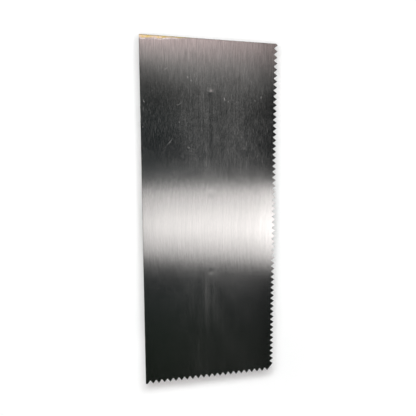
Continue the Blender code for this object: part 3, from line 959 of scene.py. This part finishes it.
class Finish(Nodes):
    """A material's nodes."""

    def __init__(self, name):
        self.material = bpy.data.materials.new(name)
        super().__init__(self.material)
        self.shader = self.tree.nodes["Principled BSDF"]
        self.place = self.node("TexCoord").outputs["Object"]
        self.millimetres = self.scaled(1000)

    def set(self, **values):
        for name, value in values.items():
            self.feed(self.shader.inputs[name.replace("_", " ")], value)

    def tint(self, colour, tone):
        """The colour times a single number."""
        made = self.node("VectorMath", {"operation": "SCALE"}, Scale=tone)
        self.feed(made.inputs[0], colour)
        return made.outputs[0]

    def scaled(self, scale, turn=(0, 0, 0), shift=(0, 0, 0)):
        """The place times a scale per metre, for all axes or one for each."""
        scale = scale if isinstance(scale, tuple) else (scale,) * 3
        values = {"Scale": scale, "Rotation": turn, "Location": shift}
        return self.node("Mapping", Vector=self.place, **values).outputs[0]

    def noise(self, scale, detail=2, roughness=0.5, **placing):
        values = {"Scale": 1.0, "Detail": detail, "Roughness": roughness}
        return self.node("TexNoise", Vector=self.scaled(scale, **placing), **values).outputs["Fac"]

    def cells(self, scale, feature="F1"):
        values = {"Vector": self.scaled(scale), "Scale": 1.0}
        return self.node("TexVoronoi", {"feature": feature}, **values).outputs["Distance"]

    def bump(self, height, distance, **values):
        return self.node("Bump", Height=height, Distance=distance, **values).outputs["Normal"]


def mark_mask(mat, mark):
    """How strongly one scratch shows at a point of the face, from 0 to its strength."""
    x, y, length, half_width, turn, bow, strength = mark
    shifted = mat.vector("SUBTRACT", mat.millimetres, (x, y, 0))[0]
    settings = {"rotation_type": "Z_AXIS"}
    turned = mat.node("VectorRotate", settings, Vector=shifted, Angle=radians(-turn))
    aside, forward, _ = mat.parts(turned.outputs[0])
    along = mat.times(forward, 2 / length)
    along_square = mat.times(along, along)
    bowed = mat.times_plus(along_square, bow, aside)
    across = mat.times(bowed, 1 / half_width)
    square = mat.times_plus(across, across, along_square)
    return mat.fade(square, 0.0, 1.0, strength, 0.0)


def line_mask(mat, line):
    """One upright line of the haze over the rail."""
    line_x, half_width, low, high, strength = line
    x, y, _ = mat.parts(mat.millimetres)
    off = mat.off(x, line_x)
    across = mat.fade(off, LINE_CORE * half_width, LINE_REACH * half_width, strength, 0.0)
    beyond = mat.off(y, (low + high) / 2)
    reach = (high - low) / 2
    return mat.times(across, mat.fade(beyond, reach - LINE_END_FADE, reach, 1, 0))


def steel_haze(mat):
    """The scattering share of the face: haze down its middle, rail lines, scratches and specks."""
    x, y, _ = mat.parts(mat.place)
    middle = mat.fade(mat.off(x, HAZE_MIDDLE_X), *HAZE_SIDES, 1.0, 0.10)
    upper = mat.fade(y, *HAZE_RISE, 0.18, 1.0)
    everywhere = mat.times(mat.fade(y, *DUST_RISE, 0.35, 1.0), HAZE_EVERYWHERE)
    haze = mat.times_plus(middle, upper, everywhere)
    for scale, detail, least, most in HAZE_TEXTURES:
        texture = mat.noise(scale, detail, 0.65)
        haze = mat.times(haze, mat.between(texture, 0.32, 0.68, least, most))
    lines = 1.0
    for line in RAIL_LINES:
        lines = mat.plus(line_mask(mat, line), lines)
    haze = mat.times(haze, mat.larger(lines, LEAST_LINE))
    share = mat.times(haze, HAZE_SHARE)
    marks = 0.0
    for mark in MARKS:
        marks = mat.larger(mark_mask(mat, mark), marks)
    broken = mat.between(mat.noise((900, 900, 1)), 0.35, 0.65, 0.4, 1.3)
    share = mat.times_plus(mat.times(marks, broken), MARK_SHARE, share)
    # Specks and hairlines thin out towards the toothed end, over an even dullness.
    thinning = mat.fade(y, *SPECK_RISE, 0.18, 1.0)
    specks = mat.noise((1250, 420, 1), roughness=0.6, shift=(0.3, 0, 0))
    specks = mat.times(mat.between(specks, 0.52, 0.76, 0.0, SPECKLE), thinning)
    share = mat.plus(share, specks)
    share = mat.plus(share, mat.between(y, *DULL_FALL, DULL_LOW, 0.0))
    strands = mat.noise((1150, 150, 1), 3, 0.6, shift=(0.7, 0, 0))
    strands = mat.between(strands, 0.46, 0.70, 0.0, STRANDS)
    lower = mat.fade(y, *STRAND_RISE, 0.04, 0.45)
    strand_share = mat.larger(mat.times(upper, upper), lower)
    strand_share = mat.times(strand_share, mat.between(x, *STRAND_ASIDE, 1.15, 1.7))
    share = mat.times_plus(strands, strand_share, share)
    for turn in HAIR_TURNS:
        hairs = mat.noise((1500, 190, 1), 0, turn=(0, 0, turn), shift=(turn, 0, 0))
        hairs = mat.times(mat.between(hairs, 0.70, 0.80, 0.0, HAIR_STRENGTH), thinning)
        share = mat.plus(share, hairs)
    return share


def straw_edge(mat):
    """The straw-coloured strip along the plain end and the scuffed line below it: masks and colour."""
    x, y, _ = mat.parts(mat.millimetres)
    wander = mat.noise((210, 40, 1), 3)
    depth = mat.between(x, -56.0, -8.0, 2.9, 0.0)
    depth = mat.times(depth, mat.between(wander, 0.3, 0.7, 0.65, 1.25))
    from_end = mat.minus(BLADE_HALF_LENGTH * 1000, y)
    inside = mat.minus(depth, from_end)
    straw = mat.between(inside, -0.15, 0.35)
    scuff = mat.times(mat.between(inside, -1.3, -0.5), mat.between(inside, -0.1, -0.3))
    broken = mat.between(mat.noise((420, 200, 1)), 0.38, 0.6)
    near = mat.between(x, -34.0, -18.0, 1.0, 0.0)
    scuff = mat.times(mat.times(scuff, broken), near)
    blotch = mat.noise((330, 260, 1))
    colour = mat.mix(mat.between(blotch, 0.40, 0.56), STRAW, STRAW_PALE)
    colour = mat.mix(mat.between(from_end, 0.9, 0.2, 0.0, 0.85), colour, STRAW_DARK)
    return straw, scuff, colour


def blade_steel():
    """Cold-rolled steel, brushed along its length, hazy down its middle, with fine scratches, a
    painted highlight and painted shade along the toothed edge, and a painted shade line along the
    plain edge and end.
    """
    mat = Finish("blade_steel_finish")
    fine = mat.noise((2600, 60, 1), 3, 0.7)
    middle = mat.noise((1000, 45, 1), 3, 0.6)
    wide = mat.noise((260, 20, 1))
    grain = mat.plus(mat.times(fine, 0.3), mat.times(middle, 0.4))
    grain = mat.plus(grain, mat.times(wide, 0.3))
    smudge = mat.noise((55, 40, 1), 5, 0.6)
    colour = mat.mix(mat.between(grain, 0.40, 0.60), STEEL_DARK, STEEL_COLOUR)
    x, y, z = mat.parts(mat.millimetres)
    left_tone = mat.fade(x, *LEFT_EDGE, 0.91, 1.0)
    # Painted highlight and painted shade at the toothed edge: lighter beside the reflected band,
    # darker away from it.
    painted_light_gain = mat.fade(mat.off(y, PAINTED_HIGHLIGHT_MIDDLE), *PAINTED_LIGHT_END, 0.12, -0.16)
    right_painted_light = mat.times_plus(painted_light_gain, mat.fade(x, *PAINTED_LIGHT_EDGE, 0.0, 1.0), 1.0)
    tone = mat.times(left_tone, right_painted_light)
    face_height = FACE_Z * 1000
    on_face = mat.between(z, face_height - 0.6, face_height - 0.3)
    for stain_x, stain_y, half_width, half_height, gain in STAINS:
        across = mat.times_plus(x, 1 / half_width, -stain_x / half_width)
        along = mat.times_plus(y, 1 / half_height, -stain_y / half_height)
        square = mat.times_plus(across, across, mat.times(along, along))
        stain = mat.fade(square, 0.0, 1.0, gain, 0.0)
        tone = mat.times(tone, mat.times_plus(stain, on_face, 1.0))
    strand = mat.noise((1100, 75, 1), 3, 0.6, shift=(0.2, 0, 0))
    strand = mat.between(strand, 0.34, 0.66, -TONE_STRANDS, TONE_STRANDS)
    upper_share = mat.fade(y, *UPPER_PART, 0.0, 1.0)
    strand_share = mat.times_plus(mat.fade(y, *LOWER_PART, 1.0, 0.0), 0.5, upper_share)
    tone = mat.times(tone, mat.times_plus(strand, strand_share, 1.0))
    edge = BLADE_HALF_WIDTH * 1000
    end = BLADE_HALF_LENGTH * 1000
    # Painted shade: a thin dark line along the plain long edge and along the plain end.
    tone = mat.times(tone, mat.between(x, -edge, -edge + 0.8, 0.5, 1))
    tone = mat.times(tone, mat.between(y, end - 0.7, end, 1, 0.5))
    colour = mat.tint(colour, tone)
    straw, scuff, straw_colour = straw_edge(mat)
    colour = mat.mix(scuff, mat.mix(straw, colour, straw_colour), SCUFF)
    haze = steel_haze(mat)
    haze = mat.times_plus(straw, 0.4, haze)
    haze = mat.times_plus(scuff, 0.5, haze, clamp=True)
    mat.set(Base_Color=colour, Metallic=mat.minus(1.0, haze), Anisotropic=1.0)
    mat.set(Roughness=mat.between(smudge, 0.3, 0.7, 0.19, 0.22))
    tangent = mat.node("Tangent", {"direction_type": "UV_MAP", "uv_map": "along"})
    mat.set(Tangent=tangent.outputs[0])
    ripple = mat.noise((1000, 150, 1))
    streak = mat.noise((850, 55, 1))
    normal = mat.bump(ripple, 0.000012, Normal=mat.bump(grain, 0.00002))
    mat.set(Normal=mat.bump(streak, 0.00004, Normal=normal))
    return mat.material


def near_rivets(mat):
    """1 close round each rivet of the rail, fading to 0 a few millimetres away."""
    found = 0.0
    for name in RIVET_NAMES:
        seat = (0, rivet_y(name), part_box(name)[0].z + RIVET_HEAD_HEIGHT)
        away = mat.vector("DISTANCE", mat.place, seat)["Value"]
        found = mat.larger(mat.between(away, *GRIME_AND_SHADE_REACH, 1, 0), found)
    return found


def cast_alloy():
    """Cast alloy: a grainy skin, dull patches, pits with painted shade, grime and painted shade round
    the rivets and under the blade, a faint mould line.
    """
    mat = Finish("cast_alloy_finish")
    skin = mat.noise(1500, 4, 0.65)
    grain = mat.noise(3600, 2, 0.7)
    waves = mat.noise(210, 3)
    patches = mat.noise(75, 6, 0.65)
    pit = mat.fade(mat.cells(520), 0.08, 0.22, 1.0, 0.0)
    pit = mat.times(pit, mat.between(patches, 0.44, 0.60))
    x, _, z = mat.parts(mat.millimetres)
    seam = mat.fade(mat.off(x, 0), 0.05, 0.35, 1.0, 0.0)
    tone = mat.mix(mat.between(patches, 0.34, 0.66), CAST_DARK, CAST_PALE)
    speckle = mat.between(grain, 0.36, 0.64, -0.5, 0.5)
    speckle = mat.times_plus(mat.between(skin, 0.34, 0.66, -0.5, 0.5), 0.9, speckle)
    tone = mat.tint(tone, mat.times_plus(speckle, 0.34, 1.0))
    # Painted shade darkens the pits.
    tone = mat.mix(mat.times(pit, 0.85), tone, PIT_PAINTED_SHADE)
    # Grime with painted shade round the rivets and where the casting meets the blade's underside.
    grime = mat.times(near_rivets(mat), mat.between(patches, 0.30, 0.55, 0.35, 0.85))
    grime_and_shade_under_blade = mat.fade(z, 63.9, 64.7, 0, 0.55)
    grime = mat.larger(grime, grime_and_shade_under_blade)
    grime = mat.times(grime, mat.between(skin, 0.3, 0.6, 0.55, 1.0))
    tone = mat.mix(grime, tone, GRIME_AND_SHADE_COLOUR)
    metal = mat.between(grime, 0.2, 0.9, 1.0, 0.45)
    mat.set(Base_Color=tone, Metallic=metal)
    rough = mat.between(patches, 0.3, 0.7, 0.44, 0.30)
    mat.set(Roughness=mat.times_plus(pit, 0.2, rough))
    height = mat.times_plus(skin, 0.35, waves)
    height = mat.times_plus(grain, 0.18, height)
    height = mat.times_plus(seam, 0.35, height)
    height = mat.minus(height, mat.times(pit, 0.6))
    mat.set(Normal=mat.bump(height, 0.0003))
    return mat.material


def rivet_steel():
    """Hammered rivet heads, a little dull."""
    mat = Finish("rivet_steel_finish")
    dents = mat.cells(900, "SMOOTH_F1")
    skin = mat.noise(2200, 4)
    tone = mat.mix(skin, RIVET_DARK, RIVET_PALE)
    mat.set(Base_Color=tone, Metallic=1.0)
    mat.set(Roughness=mat.between(skin, 0.3, 0.7, 0.28, 0.42))
    height = mat.times_plus(skin, 0.15, dents)
    mat.set(Normal=mat.bump(height, 0.00012))
    return mat.material


def plated_steel():
    """Bright plated steel, turned about the grip's axis, with handling scratches."""
    mat = Finish("plated_steel_finish")
    turned = mat.noise((25, 5200, 25), 4, 0.7)
    patches = mat.noise(160, 4, 0.6)
    scratch = mat.noise((260, 3000, 260), 3, 0.8, turn=(0.5, 0.2, 0.4))
    mark = mat.between(scratch, 0.66, 0.72)
    tone = mat.mix(turned, ZINC_DARK, ZINC_PALE)
    tone = mat.mix(mat.between(patches, 0.55, 0.75, 0.0, 0.5), tone, ZINC_DULL)
    mat.set(Base_Color=tone, Metallic=1.0)
    rough = mat.between(patches, 0.3, 0.7, 0.17, 0.30)
    mat.set(Roughness=mat.times_plus(mark, 0.15, rough))
    height = mat.times_plus(mark, -0.4, turned)
    mat.set(Normal=mat.bump(height, 0.00003))
    return mat.material


def grip_wood():
    """Turned beech under thin varnish: growth rings, short dark flecks, and wear from the hand."""
    mat = Finish("grip_wood_finish")
    bend = mat.noise((38, 7, 38), 3, 0.55)
    moved = mat.vector("SUBTRACT", mat.place, (PITH[0], 0, PITH[1]))[0]
    flat = mat.vector("MULTIPLY", moved, (1, 0, 1))[0]
    reach = mat.vector("LENGTH", flat)["Value"]
    rings = mat.times_plus(bend, RING_WANDER, mat.times(reach, RINGS_PER_METRE))
    share = mat.math("FRACT", rings)
    late = mat.power(share, 3.0)
    early = mat.fade(share, 0.0, 0.12, 1.0, 0.0)
    ring_tone = mat.larger(late, early)
    fibre = mat.noise((1900, 45, 1900), 3, 0.7)
    fleck = mat.noise((1900, 330, 1900), 1)
    fleck = mat.fade(fleck, 0.65, 0.71)
    broad = mat.noise((60, 14, 60), 3)
    colour = mat.mix(mat.times(ring_tone, 0.62), WOOD_PALE, WOOD_DEEP)
    colour = mat.mix(mat.between(fibre, 0.35, 0.65, 0.0, 0.35), colour, WOOD_FIBRE)
    colour = mat.mix(mat.times(fleck, 0.65), colour, WOOD_FLECK)
    colour = mat.mix(mat.between(broad, 0.35, 0.65, 0.0, 0.30), colour, WOOD_BROAD)
    # The hand darkens the belly, and the varnish has gone at the butt's rim.
    y = mat.parts(mat.place)["Y"]
    belly = mat.fade(mat.off(y, BELLY_Y), 0.015, 0.055, 1, 0)
    grime = mat.noise((120, 45, 120), 5, 0.65)
    hand = mat.times(belly, mat.between(grime, 0.42, 0.68))
    colour = mat.mix(mat.times(hand, 0.38), colour, WOOD_HANDLED)
    rim = mat.fade(y, GRIP_LOW.y + 0.001, GRIP_LOW.y + 0.005, 1, 0)
    bare = mat.times(rim, mat.between(grime, 0.40, 0.60))
    colour = mat.mix(mat.times(bare, 0.5), colour, WOOD_BARE)
    mat.set(Base_Color=colour, Metallic=0.0, Coat_Weight=0.35, Coat_Roughness=0.16)
    rough = mat.between(fibre, 0.3, 0.7, 0.36, 0.50)
    mat.set(Roughness=mat.times_plus(bare, 0.2, rough))
    height = mat.times_plus(fleck, -0.8, mat.times(fibre, 0.5))
    height = mat.times_plus(ring_tone, 0.25, height)
    mat.set(Normal=mat.bump(height, 0.00007))
    return mat.material


# ======== stage
def make_floor():
    mesh = bpy.data.meshes.new("floor")
    build = bmesh.new()
    bmesh.ops.create_grid(build, x_segments=1, y_segments=1, size=FLOOR_SIZE / 2)
    build.to_mesh(mesh)
    build.free()
    floor = link_object("floor", mesh)
    floor.location.z = -FLOOR_DROP
    mat = Finish("floor_finish")
    mat.set(Base_Color=FLOOR_COLOUR, Roughness=0.9, Emission_Color=(1, 1, 1, 1))
    seen = mat.node("LightPath").outputs["Is Camera Ray"]
    away = mat.vector("SUBTRACT", mat.place, (KEY_PLACE[0], KEY_PLACE[1], 0))[0]
    distance = mat.vector("LENGTH", away)["Value"]
    lift = mat.times(mat.power(distance, 2.0), FLOOR_LIFT_GROWTH)
    mat.set(Emission_Strength=mat.times(seen, mat.smaller(lift, 1.0)))
    floor.data.materials.append(mat.material)


def make_camera():
    data = bpy.data.cameras.new("camera")
    data.sensor_width = SENSOR_WIDTH
    data.lens = FOCAL_PIXELS / FRAME_PIXELS * SENSOR_WIDTH
    data.clip_start = 0.01
    camera = link_object("camera", data)
    back = -CAMERA_FORWARD.normalized()
    right = CAMERA_UP.cross(back).normalized()
    up = back.cross(right)
    turn = Matrix((right, up, back)).transposed().to_4x4()
    camera.matrix_world = Matrix.Translation(CAMERA_PLACE) @ turn
    bpy.context.scene.camera = camera


class Sky(Nodes):
    """The studio round the trowel: pale low down, dark overhead, with what the steel mirrors."""

    def __init__(self):
        world = bpy.data.worlds.new("studio")
        bpy.context.scene.world = world
        super().__init__(world)
        self.tree.nodes.clear()

    def ramp(self, value, stops, interpolation="EASE"):
        """A ramp whose stops lie from -1 to 1. A stop's tone is a number or a colour."""
        made = self.node("ValToRGB", Fac=self.times_plus(value, 0.5, 0.5))
        elements = made.color_ramp.elements
        made.color_ramp.interpolation = interpolation
        while len(elements) < len(stops):
            elements.new(0.5)
        for element, (place, tone) in zip(elements, stops):
            element.position = place / 2 + 0.5
            element.color = (*tone, 1) if isinstance(tone, tuple) else (tone, tone, tone, 1)
        return made.outputs["Color"]


def make_world():
    sky = Sky()
    x, y, z = sky.parts(sky.node("TexCoord").outputs["Generated"])
    from_middle = sky.minus(x, LEAN_FROM)
    wall_place = sky.times_plus(from_middle, WALL_LEAN, y)
    pinch = sky.times(sky.times(from_middle, from_middle), BAND_PINCH)
    band_place = sky.times_plus(y, pinch, y)
    spread = sky.times_plus(x, -BAND_SPREAD, BAND_SPREAD * BAND_SPREAD_FROM)
    band_place = sky.times_plus(sky.minus(y, BAND_CENTRE), spread, band_place)
    band_place = sky.times_plus(from_middle, BAND_LEAN, band_place)
    overhead = sky.ramp(wall_place, OVERHEAD_STOPS, "LINEAR")
    fade = sky.times_plus(x, -WALL_FADE, WALL_LEVEL)
    fade = sky.smaller(sky.larger(fade, WALL_RANGE[0]), WALL_RANGE[1])
    overhead = sky.mix(1.0, overhead, fade, "MULTIPLY")
    band = sky.ramp(band_place, BAND_STOPS)
    growth = sky.times_plus(x, BAND_GROWTH * BAND_LEVEL, BAND_LEVEL)
    strength = sky.times(band, sky.larger(growth, 0.0))
    strip = sky.mix(1.0, strength, BAND_TINT, "MULTIPLY")
    overhead = sky.mix(1.0, overhead, strip, "ADD")
    pale = (LOW_LEVEL, LOW_LEVEL, LOW_LEVEL)
    light = sky.mix(sky.fade(z, *LOW_EDGE), pale, overhead)
    lit = sky.node("Background", Color=light)
    white = sky.node("Background", Color=(1, 1, 1, 1))
    seen = sky.node("LightPath").outputs["Is Camera Ray"]
    pick = sky.calculate("MixShader", None, (seen, lit.outputs[0], white.outputs[0]))
    sky.node("OutputWorld", Surface=pick[0])


def key_lights():
    """The lamp beside the camera. Its even reach keeps the floor white round the soft shadow."""
    for name, size, power in KEY_LAMPS:
        data = bpy.data.lights.new(name, "AREA")
        data.shape = "RECTANGLE"
        data.size, data.size_y = size
        data.energy = power
        nodes = Nodes(data)
        falloff = nodes.node("LightFalloff", Strength=1.0)
        nodes.feed(nodes.tree.nodes["Emission"].inputs["Strength"], falloff.outputs["Constant"])
        lamp = link_object(name, data)
        lamp.location = KEY_PLACE
        lamp.visible_camera = False
        lamp.visible_glossy = False


# ======== building
def ready(piece, node, material):
    piece.data.materials.append(material)
    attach(piece, "root")
    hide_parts(node)


plated = plated_steel()
riveted = rivet_steel()
ready(make_blade(), "blade", blade_steel())
ready(make_mounting(), "mounting", cast_alloy())
for name in RIVET_NAMES:
    ready(make_rivet(name), name, riveted)
ready(make_grip(), "grip", grip_wood())
ready(make_ferrule(), "ferrule", plated)
ready(make_end_washer(), "end_washer", plated)
ready(make_spring_washer(), "spring_washer", plated)
ready(make_cap_nut(), "cap_nut", plated)
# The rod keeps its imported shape: only its finish is new.
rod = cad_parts["tang_rod"]
rod.data.materials.clear()
rod.data.materials.append(plated)

make_floor()
make_camera()
make_world()
key_lights()
bpy.context.scene.view_settings.view_transform = "Standard"
